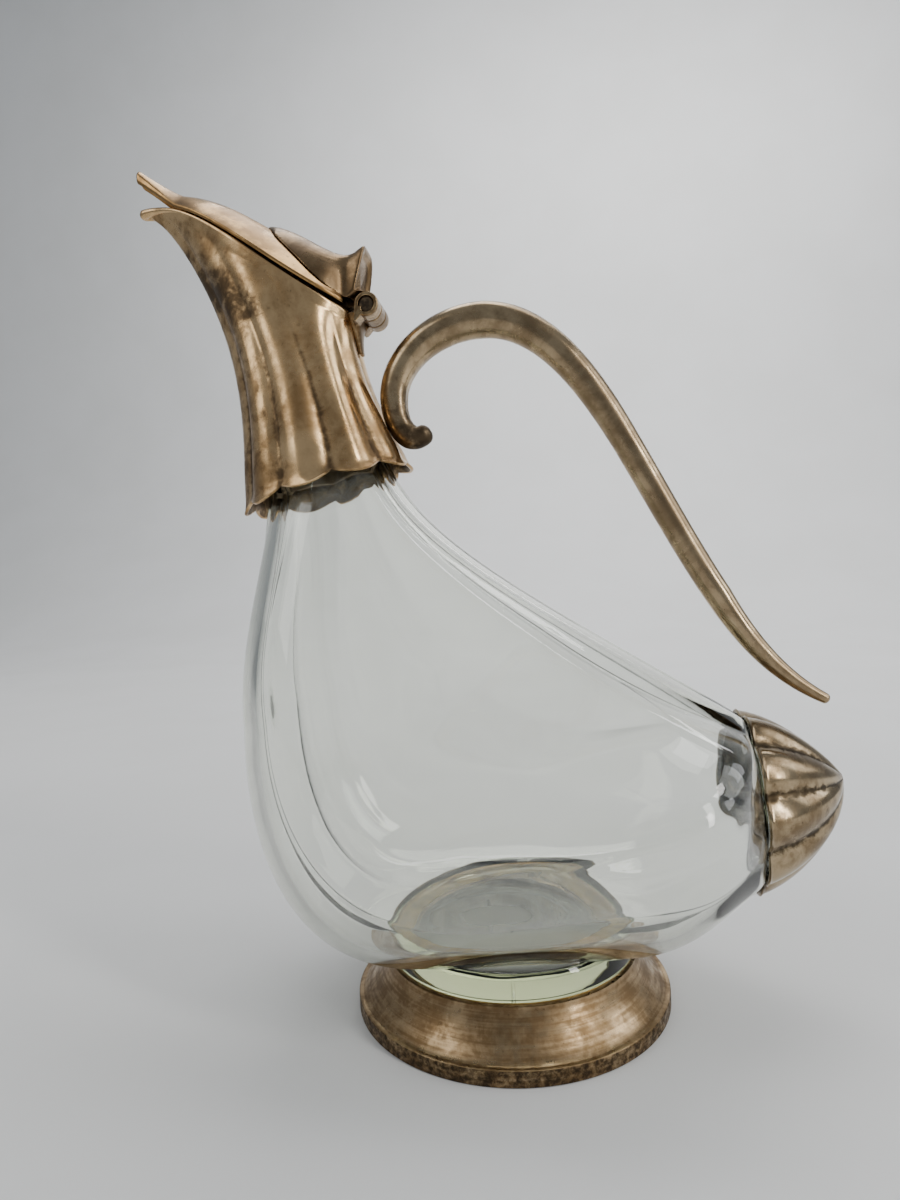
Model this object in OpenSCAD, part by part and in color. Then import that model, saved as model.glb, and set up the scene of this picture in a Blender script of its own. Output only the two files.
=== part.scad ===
// Claret jug: a fluted glass body with a metal foot, spout, hinged lid, handle and tail cap.
// +Z is up, -X is the spout, +X the tail. The origin is the foot's centre on the table.

/* [Foot] */
// Diameter of the foot on the table
foot_d = 96; // [88:1:110]
// Height of the glass pad above the table
foot_h = 16; // [13:0.5:20]
// Height of the upright band round the foot
band_h = 4.5; // [3:0.5:6]
// Thickness of the band round the foot
band_t = 1.5; // [1:0.1:2]
// Thickness of the spun metal of the foot
foot_wall = 1.2; // [0.8:0.1:1.6]
// Width of the shelf that the glass pad stands on
shelf_w = 8; // [5:0.5:11]

/* [Glass] */
// Diameter of the thick glass pad under the body
pad_d = 76; // [70:1:78]
// Thickness of the glass pad
pad_h = 6; // [4:0.5:9]
// Thickness of the glass wall
glass_wall = 2.4; // [1.6:0.1:3.2]
// Thickness of the glass floor over the pad
floor_t = 3; // [2:0.5:5]
// How far the breast reaches in front of the foot's centre
breast_x = 76; // [72:0.5:80]
// Height of the breast above the table
breast_z = 88; // [82:1:94]
// Width of the glass body across
body_w = 112; // [102:1:122]
// Depth of the creases between the flutes of the glass
flute = 2.4; // [1:0.1:3.2]
// Diameter of the glass neck at the collar
throat_d = 41; // [37:0.5:42]
// Diameter of the glass neck at its top
throat_top_d = 33; // [30:0.5:35]
// Length of the glass neck inside the metal
throat_rise = 22; // [18:1:26]

/* [Neck] */
// Where the collar's centre lies in front of the foot's centre
collar_x = -52.2; // [-56:0.2:-46]
// Height of the collar's centre
collar_z = 160.8; // [156:0.2:165]
// Slope of the collar, higher towards the tail
collar_tilt = 14.3; // [10:0.1:18]
// Diameter of the collar over its flutes
collar_d = 54; // [53:0.2:57]
// How far the collar's scallops hang down
scallop = 2.2; // [1:0.1:3]
// Depth of the creases between the flutes of the neck
neck_flute = 1.5; // [0.8:0.1:1.9]
// Thickness of the neck's metal
neck_wall = 1.2; // [0.8:0.1:1.5]
// How far the lip reaches in front of the foot's centre
lip_x = 111; // [106:0.5:116]
// Height of the lip
lip_z = 252; // [248:0.5:258]
// Width of the mouth
mouth_w = 35; // [32:0.5:38]
// How far the mouth's edge bows up between lip and hinge
mouth_bow = 4; // [2:0.2:6]

/* [Hinge] */
// Distance of the hinge axis in front of the foot's centre
hinge_x = -35.7; // [-37:0.1:-34.5]
// Height of the hinge axis
hinge_z = 213.6; // [212:0.2:216]
// Diameter of the hinge knuckles
knuckle_d = 7.4; // [7:0.1:8]
// Length of the whole hinge barrel
barrel_l = 17; // [14:0.5:19]
// Length of the lid's knuckle in the middle
middle_l = 6; // [5:0.5:7]
// Gap between the lid's knuckle and each neck knuckle
side_gap = 0.2; // [0.1:0.05:0.3]
// Diameter of the hinge pin
pin_d = 4.8; // [4:0.1:5.2]
// Radial clearance round the pin
pin_fit = 0.05; // [0.02:0.01:0.08]
// How deep the pin's ends lie in the barrel
pin_recess = 0.5; // [0.2:0.1:0.8]

/* [Lid] */
// Thickness of the lid
lid_t = 1.4; // [1:0.1:2]
// Gap between the lid and the mouth's edge at the beak
lid_gap = 0.3; // [0.2:0.05:0.5]
// How much wider that gap is at the hinge
lid_lift = 1.2; // [0.6:0.1:1.6]
// Height of the lid's arch as a share of its half width
lid_arch = 0.68; // [0.5:0.02:0.74]
// How far the beak turns up
beak_rise = 8.7; // [6:0.5:11]
// How much wider the beak's tip is than the lip under it, on each side
beak_w = 1.5; // [0.8:0.1:2]
// How much thicker the lid is at the beak's tip
beak_t = 1.3; // [0.6:0.1:1.6]
// Height of the crest's back tip over the hinge axis
crest_h = 19.4; // [17:0.2:21]
// Widest part of the crest, on the back half of the lid
crest_w = 26; // [20:0.5:28]
// Thickness of the crest's edge
crest_t = 1; // [0.7:0.1:1.4]

/* [Handle] */
// Thickest part of the handle
handle_d = 11; // [9.5:0.25:12]
// Where the handle's top lies in front of the foot's centre
handle_top_x = -2; // [-4:0.5:1]
// Height of the handle's centre line at its top
handle_top_z = 208.4; // [205:0.2:212]
// Distance of the handle's tip behind the foot's centre
tip_x = 95.4; // [90:0.2:100]
// Height of the handle's tip
tip_z = 90; // [88:0.5:96]
// Diameter of the handle near its tip
tip_d = 3.2; // [2.6:0.2:4.5]

/* [Tail] */
// Distance of the cap's rim behind the foot's centre
cap_x = 72.4; // [70:0.2:76]
// Height of the centre of the cap's rim
cap_z = 59.8; // [57:0.2:62]
// Lean of the cap's rim towards the neck
cap_tilt = 2; // [0:0.5:8]
// Diameter of the cap over its flutes
cap_d = 54; // [52:0.2:57]
// Step in the glass that the cap's rim stops at
shoulder = 1; // [0.4:0.1:1.6]
// Length of the cap from rim to tip
cap_l = 27; // [25:0.5:32]
// Depth of the creases between the flutes of the cap
cap_flute = 1.8; // [1:0.1:2.2]
// Thickness of the cap's metal
cap_wall = 1.2; // [0.8:0.1:1.4]

/* [Hidden] */

// Flutes round the glass, the neck and the cap
flutes = 10;
// Points round one flute
flute_points = 6;
// Thickness of the cement under the glass pad
cement_t = 0.4;
// Gap between glass and metal where cement or solder closes it
seat_gap = 0.1;

// Points and curves in the plane of symmetry are [x, z].
function mix(a, b, t) = a + (b - a) * t;
function bezier(p, t) =
    pow(1 - t, 3) * p[0] + 3 * pow(1 - t, 2) * t * p[1] + 3 * (1 - t) * t * t * p[2] + pow(t, 3) * p[3];
function slope(p, t) =
    pow(1 - t, 2) * (p[1] - p[0]) + 2 * (1 - t) * t * (p[2] - p[1]) + t * t * (p[3] - p[2]);
function unit(v) = v / norm(v);
// The place at share u of the way along x and share v along z from a to b
function between(a, b, u, v) = [mix(a[0], b[0], u), mix(a[1], b[1], v)];
function along(tilt) = [cos(tilt), sin(tilt)];
function across(tilt) = [-sin(tilt), cos(tilt)];
function signed_power(v, e) = sign(v) * pow(abs(v), e);
function fluting(angle) = abs(sin(flutes / 2 * (angle + 90)));
function ring_angles() = [for (i = [0 : flutes * flute_points - 1]) 360 * i / (flutes * flute_points)];

// Half width at a place q, from -1 at the front to 1 at the back, as a share of the widest place.
// A power of 2 gives an ellipse and a higher one a squarer end; the taper draws in a beak.
function breadth(q, power, taper) =
    pow(1 - pow(abs(q), power), 1 / power) * (1 - taper * pow(0.5 - 0.5 * q, 2.1));

// One closed section: from the front point a to the back point b of the symmetry plane, half as
// wide as w, with creases of the given depth. The widest place is at the share m of the way.
// The spread moves the creases away from the widest place.
function section(a, b, w, depth, m = 0.5, front = 2, back = 2, taper = 0, spread = 0, inset = 0) =
    let (u = unit(b - a), middle = mix(a, b, m))
    [for (angle = ring_angles())
        let (turn = angle + spread * sin(2 * angle), s = sin(turn), c = cos(turn),
             power = s < 0 ? front : back,
             r = pow(pow(abs(c), power) + pow(abs(s), power), -1 / power),
             full = 1 - depth / w * (1 - fluting(angle)),
             reach = norm(s < 0 ? middle - a : b - middle) - inset, p = middle + u * reach * s * r * full)
        [p[0], -(w - inset) * c * r * full * (1 - taper * pow(0.5 - 0.5 * s * r, 2.1)), p[1]]];

// Joins a list of closed rings into one solid. A loop joins the last ring to the first.
module skin(rings, loop = false)
{
    n = len(rings[0]);
    last = len(rings) - 1;
    sides = [for (i = [0 : loop ? last : last - 1]) for (j = [0 : n - 1])
        let (k = (i + 1) % (last + 1) * n, a = i * n + j, b = i * n + (j + 1) % n)
        each [[a, k + j, b], [b, k + j, k + (j + 1) % n]]];
    ends = loop ? [] : [[for (j = [0 : n - 1]) j], [for (j = [n - 1 : -1 : 0]) last * n + j]];
    polyhedron(points = [for (r = rings) each r], faces = concat(sides, ends), convexity = 8);
}

function lifted(ring, low) = [for (p = ring) [p[0], p[1], max(p[2], low)]];
function reversed(list) = [for (i = [len(list) - 1 : -1 : 0]) list[i]];
function steps(n, from = 0, to = 1) = [for (i = [0 : n]) mix(from, to, i / n)];

// Glass body
throat = [collar_x + 1.2, collar_z - 1.8];
throat_tilt = collar_tilt - 1.3;
throat_r = throat_d / 2;
tail = [cap_x, cap_z] - along(cap_tilt) * 1.2;
tail_r = cap_d / 2 - cap_flute + 0.2 + shoulder;
floor_z = foot_h + pad_h;
belly = 31;
// The belly's curve runs this far below the flat bottom, so that the flutes end in it
sink = 3;
low_z = floor_z - sink;
front_start = throat - along(throat_tilt) * throat_r;
back_start = throat + along(throat_tilt) * throat_r;
front_end = tail - across(cap_tilt) * tail_r;
back_end = tail + across(cap_tilt) * tail_r;
breast = [-breast_x, breast_z];
front_curves = [
    [front_start, mix(front_start, [breast[0], front_start[1]], 0.22) - [0, 24],
     breast + [-2.4, 24], breast],
    [breast, breast - [0, 38.5], [-breast_x + 12.5, low_z], [-belly, low_z]],
    [[-belly, low_z], [-belly / 3, low_z], [belly / 3, low_z], [belly, low_z]],
    [[belly, low_z], [belly + 20, low_z], front_end - [12.5, 2.7], front_end]];
front_shares = [0, 0.27, 0.6, 0.81, 1];
back_curve = [back_start, back_start + [11, -24.8], back_end + [-46.5, 30], back_end];

function front_at(f, i = 0) =
    f <= front_shares[i + 1] || i == 3
        ? bezier(front_curves[i], (f - front_shares[i]) / (front_shares[i + 1] - front_shares[i]))
        : front_at(f, i + 1);
function back_at(f) = bezier(back_curve, 1 - pow(1 - f, 3.2));
function half_width(f) =
    mix(throat_r, tail_r, f) + (body_w / 2 - (throat_r + tail_r) / 2) * pow(sin(180 * f), 0.8)
        - 2.9 * sin(360 * f);
function glass_ring(f, inset = 0) =
    let (swell = sin(180 * f))
    lifted(section(front_at(f), back_at(f), half_width(f), mix(0.8, flute, pow(swell, 0.6)),
                   m = 0.49 - 0.2 * sin(360 * f) - 0.03 * swell, front = 2 + 0.65 * pow(swell, 0.7),
                   spread = 16.4 * pow(swell, 0.5), inset = inset),
           inset > 0 ? floor_z + floor_t : floor_z);
function round_ring(centre, tilt, r, depth = 0) =
    section(centre - across(tilt) * r, centre + across(tilt) * r, r, depth);
function throat_ring(s, inset) =
    let (centre = throat + across(throat_tilt) * throat_rise * (1 - s),
         r = mix(throat_top_d / 2, throat_r, pow(s, 1.5)))
    section(centre - along(throat_tilt) * r, centre + along(throat_tilt) * r, r, 0.8 * s, inset = inset);
// Reach behind the body and loss of radius, step by step
tail_steps = [for (k = [[1, 2], [5, 3.2], [9, 6.4], [12, 12], [13.5, 18]]) k + [0, shoulder]];
function tail_ring(k, inset) =
    let (reach = k[0] - inset, r = tail_r - k[1] - inset)
    round_ring(tail + along(cap_tilt) * reach, cap_tilt, r, cap_flute * r / tail_r / 3);

module glass_body() {
    body_steps = steps(22);
    outside = concat([for (s = [0, 0.35, 0.7]) throat_ring(s, 0)],
                     [for (f = body_steps) glass_ring(f)],
                     [for (k = tail_steps) tail_ring(k, 0)]);
    inside = concat([for (s = [0, 0.35, 0.7]) throat_ring(s, glass_wall)],
                    [for (f = body_steps) glass_ring(f, glass_wall)],
                    [for (k = [0, 1, 2, 3]) tail_ring(tail_steps[k], glass_wall)]);
    color("honeydew", 0.4) skin(concat(reversed(outside), inside));
}

module glass_pad() {
    color("palegoldenrod", 0.5) difference() {
        translate([0, 0, foot_h]) cylinder(h = pad_h, d = pad_d, $fn = 120);
        translate([0, 0, foot_h - 1]) cylinder(h = 1 + pad_h / 4, d = pad_d / 2, $fn = 96);
    }
}

// Foot
shell_r = foot_d / 2 - band_t - seat_gap / 2;
seat_r = pad_d / 2 + 0.7;
seat_z = foot_h - cement_t;
function bell(inset) =
    [for (a = [0 : 10 : 90]) [shell_r - inset - (shell_r - seat_r) * pow(sin(a), 1.5),
                              seat_z - inset - (seat_z - band_h - 0.1) * pow(cos(a), 1.5)]];

module foot_shell() {
    shelf_r = pad_d / 2 - shelf_w;
    color("tan") rotate_extrude($fn = 120)
        polygon(concat([[shell_r, 0.3]], bell(0), [[shelf_r, seat_z], [shelf_r, seat_z - foot_wall]],
                       reversed(bell(foot_wall)), [[shell_r - foot_wall, 0.3]]));
}

module foot_band() {
    r = foot_d / 2;
    bevel = 0.4;
    color("rosybrown") rotate_extrude($fn = 120)
        polygon([[r - band_t, 0], [r - bevel, 0], [r, bevel], [r, band_h - bevel],
                 [r - bevel, band_h], [r - band_t, band_h]]);
}

module foot_cement() {
    color("whitesmoke") rotate_extrude($fn = 120)
        translate([pad_d / 2 - shelf_w + 1, seat_z]) square([shelf_w - 2, cement_t]);
}

// Neck
mouth_back = 3;
beak_taper = 0.9;
collar = [collar_x, collar_z];
collar_front = collar - along(collar_tilt) * collar_d / 2;
collar_back = collar + along(collar_tilt) * collar_d / 2;
lip = [-lip_x, lip_z];
// The mouth's back edge lies this far below the hinge axis, and as far in front of the barrel
hinge_drop = 1.6;
mouth_end = [hinge_x - knuckle_d / 2, hinge_z] - [hinge_drop, hinge_drop];
neck_front = [collar_front, between(collar_front, lip, -0.057, 0.366),
              between(collar_front, lip, -0.011, 0.642), lip];
neck_back = [collar_back, between(collar_back, mouth_end, 0.465, 0.281),
             between(collar_back, mouth_end, 1, 0.641), mouth_end];
function neck_half(t) = mouth_w / 2 + (collar_d / 2 - 0.8 - mouth_w / 2) * pow(1 - t, 1.5);
function bow(ring, share) =
    let (a = neck_front[3], u = unit(neck_back[3] - a), half = norm(neck_back[3] - a) / 2)
    [for (p = ring) let (q = ([p[0], p[2]] - a) * u / half - 1)
        p + [0, 0, share * mouth_bow * max(0, 1 - q * q) * (1 - 1.58 * q)]];
function neck_ring(t, inset = 0) =
    bow(section(bezier(neck_front, t), bezier(neck_back, t), neck_half(t), mix(neck_flute, 0.3, t * t),
                back = mix(2, mouth_back, t * t), taper = beak_taper * pow(t, 2.5), inset = inset),
        pow(t, 3));
function scalloped(ring, tilt, drop) =
    let (down = across(tilt) * drop, angles = ring_angles())
    [for (i = [0 : len(ring) - 1]) ring[i] - fluting(angles[i]) * [down[0], 0, down[1]]];

module neck_mount() {
    neck_steps = steps(12);
    outside = [for (t = neck_steps)
        t == 0 ? scalloped(neck_ring(t), collar_tilt, scallop) : neck_ring(t)];
    inside = [for (t = neck_steps)
        t == 0 ? scalloped(neck_ring(t, neck_wall), collar_tilt, scallop) : neck_ring(t, neck_wall)];
    color("burlywood") skin(concat(reversed(inside), outside), loop = true);
}

module neck_cement() {
    low = 7;
    high = 17;
    function glass_r(h) = mix(throat_top_d / 2, throat_r, pow(1 - h / throat_rise, 1.5)) + 1.5 * seat_gap;
    color("whitesmoke") translate([throat[0], 0, throat[1]]) rotate([0, -throat_tilt, 0])
        rotate_extrude($fn = 96)
            polygon([[glass_r(low), low], [glass_r(low) + 3.3, low], [glass_r(high) + 3, high],
                     [glass_r(high), high]]);
}

// Hinge
leaf_x = hinge_x - knuckle_d / 2 - 0.5;
module at_hinge() {
    translate([hinge_x, 0, hinge_z]) rotate([90, 0, 0]) children();
}

module pin_bore() {
    cylinder(h = 2 * barrel_l, r = pin_d / 2 + pin_fit, center = true, $fn = 48);
}

module neck_knuckle(side) {
    inner = middle_l / 2 + side_gap;
    l = barrel_l / 2 - inner;
    color("peru") at_hinge() difference() {
        union() {
            translate([0, 0, side > 0 ? inner : -inner - l]) cylinder(h = l, d = knuckle_d, $fn = 64);
            translate([leaf_x - hinge_x, -5.4, side > 0 ? inner : -inner - l]) cube([2.6, 4.8, l]);
        }
        pin_bore();
    }
}

module knuckle_left() {
    neck_knuckle(1);
}

module knuckle_right() {
    neck_knuckle(-1);
}

module hinge_plate() {
    half = barrel_l / 2;
    block = knuckle_d / 2;
    top = hinge_z - hinge_drop - 0.2;
    shares = steps(8, 0.64, 1);
    back = [for (t = shares) bezier(neck_back, t) + [0.15, 0]];
    web = [for (t = reversed(shares)) bezier(neck_back, t) + [0.7 + 2.4 * pow((t - 0.64) / 0.36, 2), 0]];
    color("sienna") {
        translate([0, 0, top - block]) linear_extrude(block)
            polygon(concat([for (k = [-1 : 0.25 : 1]) [mouth_edge_x(half * k) + 0.25, half * k]],
                           [[leaf_x, half], [leaf_x, -half]]));
        intersection() {
            rotate([90, 0, 0]) linear_extrude(middle_l, center = true) polygon(concat(back, web));
            translate([leaf_x - 2 * barrel_l, -half, 0]) cube([2 * barrel_l, 2 * half, top]);
        }
    }
}

module hinge_pin() {
    l = barrel_l - 2 * pin_recess;
    color("dimgray") at_hinge() cylinder(h = l, d = pin_d, center = true, $fn = 48);
}

// Lid
lid_end = 0.975;
lid_stations = [0.025, 0.04, 0.06, 0.08, 0.12, 0.18, 0.26, 0.36, 0.46, 0.56, 0.66, 0.76, 0.85, 0.92, lid_end];
lid_points = 8;
mouth_a = neck_front[3];
mouth_b = neck_back[3];
// The mouth's edge, at a share of the way from the lip to the hinge
function mouth_edge(share) =
    let (p = mix(mouth_a, mouth_b, share), power = share < 0.5 ? 2 : mouth_back)
    bow([[p[0], mouth_w / 2 * breadth(2 * share - 1, power, beak_taper), p[1]]], 1)[0];
// Where the mouth's edge lies near the hinge, at a distance y from the middle
function mouth_edge_x(y) =
    mix(mouth_a, mouth_b, 0.5 + 0.5 * breadth(2 * y / mouth_w, mouth_back, 0))[0];
// How far a share lies inside the beak: 0 where the beak starts and 1 at its tip
beak_share = 0.236;
function in_beak(share) = max(0, 1 - share / beak_share);
function lid_half(share) = mouth_edge(share)[1] + lid_gap + beak_w * pow(in_beak(share), 2);
function lid_height(share, side) =
    mouth_edge(share)[2] + lid_gap + lid_lift * share * share + beak_rise * pow(in_beak(share), 1.37)
        + lid_arch * lid_half(share) * (1 - pow(abs(side), 1.72));
function lid_ring(share) =
    let (x = mouth_edge(share)[0], w = lid_half(share), t = lid_t + beak_t * in_beak(share),
         sides = steps(lid_points, -1, 1))
    concat([for (k = sides) [x, k * w, lid_height(share, k)]],
           [for (k = reversed(sides)) [x, k * w, lid_height(share, k) + t]]);

module lid_leaf() {
    color("wheat") skin([for (share = lid_stations) lid_ring(share)]);
}

function share_at(x) = (x - mouth_a[0]) / (mouth_b[0] - mouth_a[0]);
// Gap between crest and lid, which solder closes
crest_gap = 0.35;
// The crest starts on the lid's crown and ends over the hinge
crest_front_x = mix(mouth_a[0], mouth_b[0], 0.63);
crest_front = [crest_front_x, lid_height(0.63, 0) + lid_t + crest_t];
crest_back = [hinge_x - 0.6, hinge_z + crest_h];
crest_curve = [crest_front, crest_back + crest_h * [-0.81, 0.33],
               crest_back - crest_h * [0.45, 0.42], crest_back];
crest_steps = [0, 0.06, 0.13, 0.22, 0.32, 0.42, 0.52, 0.6, 0.67, 0.73, 0.752, 0.8, 0.86, 0.93, 1];
crest_sides = [-1, -0.93, -0.8, -0.6, -0.4, -0.2, 0, 0.2, 0.4, 0.6, 0.8, 0.93, 1];
crest_low = hinge_z + knuckle_d / 2 + 0.5;
function crest_ring(t) =
    let (top = bezier(crest_curve, t), share = share_at(top[0]), on_lid = share < 0.982,
         full = mix(0.8, crest_w / 2, pow(min(1, max(0, (share - 0.63) / 0.22)), 0.4)),
         w = lid_half(min(share, lid_end)), half = min(full, w * 0.95),
         low = [for (k = crest_sides) on_lid ? lid_height(share, k * half / w) + lid_t + crest_gap : crest_low],
         rim = low[0] + crest_t, power = mix(1.8, 6, t * t), last = len(crest_sides) - 1)
    concat([for (i = [0 : last]) [top[0], crest_sides[i] * half, low[i]]],
           [for (i = [last : -1 : 0]) [top[0], crest_sides[i] * half,
                max(low[i] + 0.3, mix(rim, top[1], 1 - pow(abs(crest_sides[i]), power)))]]);

module lid_crest() {
    color("navajowhite") skin([for (t = crest_steps) crest_ring(t)]);
}

module lid_knuckle() {
    reach = hinge_x - mouth_edge(lid_end)[0] - 0.1;
    top = crest_low - hinge_z - 0.1;
    color("goldenrod") at_hinge() difference() {
        union() {
            cylinder(h = middle_l, d = knuckle_d, center = true, $fn = 64);
            translate([0, 0, -middle_l / 2]) linear_extrude(middle_l)
                polygon([[-reach, 1], [-reach, top + 1], [1.2 - reach, top], [-0.5, top],
                         [-0.5, knuckle_d / 4], [-knuckle_d / 4, 0]]);
        }
        pin_bore();
    }
}

// Handle
handle_top = [handle_top_x, handle_top_z];
handle_tip = [tip_x, tip_z];
// The curl leans on the neck's back here
curl = bezier(neck_back, 0.45) + [0.52, 0] * handle_d;
function on_curl(u, v) = curl + [u, v] * handle_d;
function on_way(u, v) = between(handle_top, handle_tip, u, v);
handle_curves = [
    [on_curl(0.773, -1.036), on_curl(0.318, -1.29), on_curl(-0.009, -0.636), curl],
    [curl, on_curl(0, 1), [mix(curl[0], handle_top_x, 0.436), handle_top_z], handle_top],
    [handle_top, on_way(0.185, 0), on_way(0.318, 0.155), on_way(0.431, 0.328)],
    [on_way(0.431, 0.328), on_way(0.524, 0.47), on_way(0.606, 0.612), on_way(0.698, 0.734)],
    [on_way(0.698, 0.734), on_way(0.786, 0.863), on_way(0.878, 0.946), handle_tip]];
handle_sizes = [[0, 0.6], [0.3, 0.76], [1, 0.86], [2, 1], [3, 0.77], [4, 0.71], [4.5, 0.52]];
function handle_r(s) =
    s <= 4.5 ? handle_d / 2 * lookup(s, handle_sizes)
             : mix(handle_d / 2 * 0.52, tip_d / 2, (s - 4.5) * 2);
function handle_ring(s, r) =
    let (i = min(floor(s), 4), p = bezier(handle_curves[i], s - i),
         d = unit(slope(handle_curves[i], s - i)), n = [-d[1], d[0]])
    [for (a = [0 : 22.5 : 359]) [p[0] + n[0] * r * cos(a), r * sin(a), p[1] + n[1] * r * cos(a)]];

module handle() {
    s_steps = steps(35, 0, 5);
    color("darkkhaki") skin(reversed([for (s = s_steps) handle_ring(s, handle_r(s))]));
}

// Tail cap
cap_rim = [cap_x, cap_z];
cap_top = cap_rim + across(cap_tilt) * cap_d / 2;
cap_low = cap_rim - across(cap_tilt) * cap_d / 2;
cap_point = cap_rim + along(cap_tilt) * cap_l + [0, cap_l / 5];
top_curve = [cap_top, cap_top + [10.7, -1.3], cap_point + [-6, 9.5], cap_point + [0, 1.5]];
low_curve = [cap_low, cap_low + [11.5, 4], cap_point + [-0.5, -15.5], cap_point + [0.2, -1.5]];
function cap_ring(t, inset = 0) =
    let (a = bezier(low_curve, t), b = bezier(top_curve, t), w = norm(b - a) / 2)
    section(a, b, w, cap_flute * w / (cap_d / 2), inset = inset);

module tail_cap() {
    outside = [for (t = steps(9)) cap_ring(t)];
    inside = [for (t = steps(7, 0, 0.84)) cap_ring(t, cap_wall)];
    color("darkgoldenrod") skin(concat(reversed(outside), inside));
}

module tail_cement() {
    color("whitesmoke") skin(reversed([for (t = steps(3, 0.5, 0.8)) cap_ring(t, cap_wall + 0.4)]));
}

glass_body();
glass_pad();
foot_shell();
foot_band();
foot_cement();
neck_mount();
neck_cement();
hinge_plate();
knuckle_left();
knuckle_right();
hinge_pin();
lid_leaf();
lid_crest();
lid_knuckle();
handle();
tail_cap();
tail_cement();
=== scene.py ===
"""The claret jug's looks. Lengths in the shape code are millimetres; meshes are made in metres."""
import math

import bmesh
import bpy
import numpy as np
from mathutils import Matrix, Vector


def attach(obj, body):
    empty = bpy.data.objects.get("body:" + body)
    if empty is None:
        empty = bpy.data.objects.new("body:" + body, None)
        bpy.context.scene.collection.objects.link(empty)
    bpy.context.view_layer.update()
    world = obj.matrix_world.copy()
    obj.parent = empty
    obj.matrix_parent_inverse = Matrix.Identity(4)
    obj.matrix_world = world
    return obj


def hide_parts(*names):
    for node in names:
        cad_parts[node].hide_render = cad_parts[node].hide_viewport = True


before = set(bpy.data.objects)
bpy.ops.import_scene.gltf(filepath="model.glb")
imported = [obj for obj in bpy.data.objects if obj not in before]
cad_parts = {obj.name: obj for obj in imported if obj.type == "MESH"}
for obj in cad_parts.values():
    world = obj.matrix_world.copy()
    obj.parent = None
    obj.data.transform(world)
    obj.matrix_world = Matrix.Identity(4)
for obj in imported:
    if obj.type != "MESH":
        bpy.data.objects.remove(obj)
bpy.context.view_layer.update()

MM = 0.001
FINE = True
AROUND = 240 if FINE else 120
PAD_AROUND, FOOT_AROUND, HINGE_AROUND = 240, 288, 96
ANGLES = np.arange(AROUND) * 360.0 / AROUND
UP = np.array([0, 0, 1.0])
FLUTES = 10
TAPER_POWER = 2.1

# Curves and sections, the same forms as the solids


def sind(angle):
    return np.sin(np.radians(angle))


def cosd(angle):
    return np.cos(np.radians(angle))


def mix(a, b, t):
    return np.asarray(a, float) + (np.asarray(b, float) - np.asarray(a, float)) * t


def bezier(p, t):
    p = np.asarray(p, float)
    return (1 - t) ** 3 * p[0] + 3 * (1 - t) ** 2 * t * p[1] + 3 * (1 - t) * t * t * p[2] + t ** 3 * p[3]


def along(tilt):
    return np.array([cosd(tilt), sind(tilt)])


def across(tilt):
    return np.array([-sind(tilt), cosd(tilt)])


def in_space(point):
    """A point or direction of the jug's upright middle plane as [x, 0, z]."""
    return np.array([point[0], 0, point[1]])


def between(a, b, u, v):
    """The point at share u of the way from a to b along x, and share v along z."""
    return np.array([a[0] + (b[0] - a[0]) * u, a[1] + (b[1] - a[1]) * v])


def fluting(angle, soft):
    """1 on the crown of a flute and 0 in the crease between two."""
    raw = np.abs(sind(FLUTES / 2 * (angle + 90)))
    return (np.sqrt(raw ** 2 + soft ** 2) - soft) / (math.sqrt(1 + soft ** 2) - soft)


def section(front, back, half, depth, soft, widest=0.5, front_power=2, back_power=2, taper=0, spread=0,
            inset=0):
    """A closed fluted ring between two points, and its crease values, 1 in a crease."""
    front, back = np.asarray(front, float), np.asarray(back, float)
    turn = ANGLES + spread * sind(2 * ANGLES)
    sine, cosine = sind(turn), cosd(turn)
    power = np.where(sine < 0, front_power, back_power)
    radius = (np.abs(cosine) ** power + np.abs(sine) ** power) ** (-1.0 / power)
    crown = fluting(ANGLES, soft)
    full = 1 - depth / half * (1 - crown)
    way = (back - front) / np.linalg.norm(back - front)
    middle = mix(front, back, widest)
    reach = np.where(sine < 0, np.linalg.norm(middle - front), np.linalg.norm(back - middle)) - inset
    p = middle[None, :] + way[None, :] * (reach * sine * radius * full)[:, None]
    narrow = 1 - taper * np.clip(0.5 - 0.5 * sine * radius, 0, 1) ** TAPER_POWER
    y = -(half - inset) * cosine * radius * full * narrow
    return np.stack([p[:, 0], y, p[:, 1]], 1), 1 - crown


def edge_roll(start, end, way, low, high, values):
    """Three rings that close the edge of a wall with a soft roll."""
    return [(mix(start, end, share) + way * rise, values)
            for share, rise in ((0.18, low), (0.5, high), (0.82, low))]


# Meshes


def new_object(name, mesh):
    obj = bpy.data.objects.new(name, mesh)
    bpy.context.scene.collection.objects.link(obj)
    return obj


def set_crease(mesh, values):
    """The value of each point that the plate materials turn dark: patina in the creases, painted shade on the
    neck's front and the handle's curl, and the darker band of the foot.
    """
    layer = mesh.attributes.new("crease", "FLOAT", "POINT")
    layer.data.foreach_set("value", np.asarray(values, np.float32))


def finish_mesh(name, verts, faces, values, sharp):
    mesh = bpy.data.meshes.new(name)
    mesh.from_pydata([tuple(v) for v in np.asarray(verts, float) * MM], [], faces)
    bm = bmesh.new()
    bm.from_mesh(mesh)
    bmesh.ops.recalc_face_normals(bm, faces=bm.faces)
    bm.to_mesh(mesh)
    bm.free()
    if values is not None:
        set_crease(mesh, values)
    mesh.shade_smooth()
    mesh.set_sharp_from_angle(angle=math.radians(sharp))
    return new_object(name, mesh)


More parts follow.
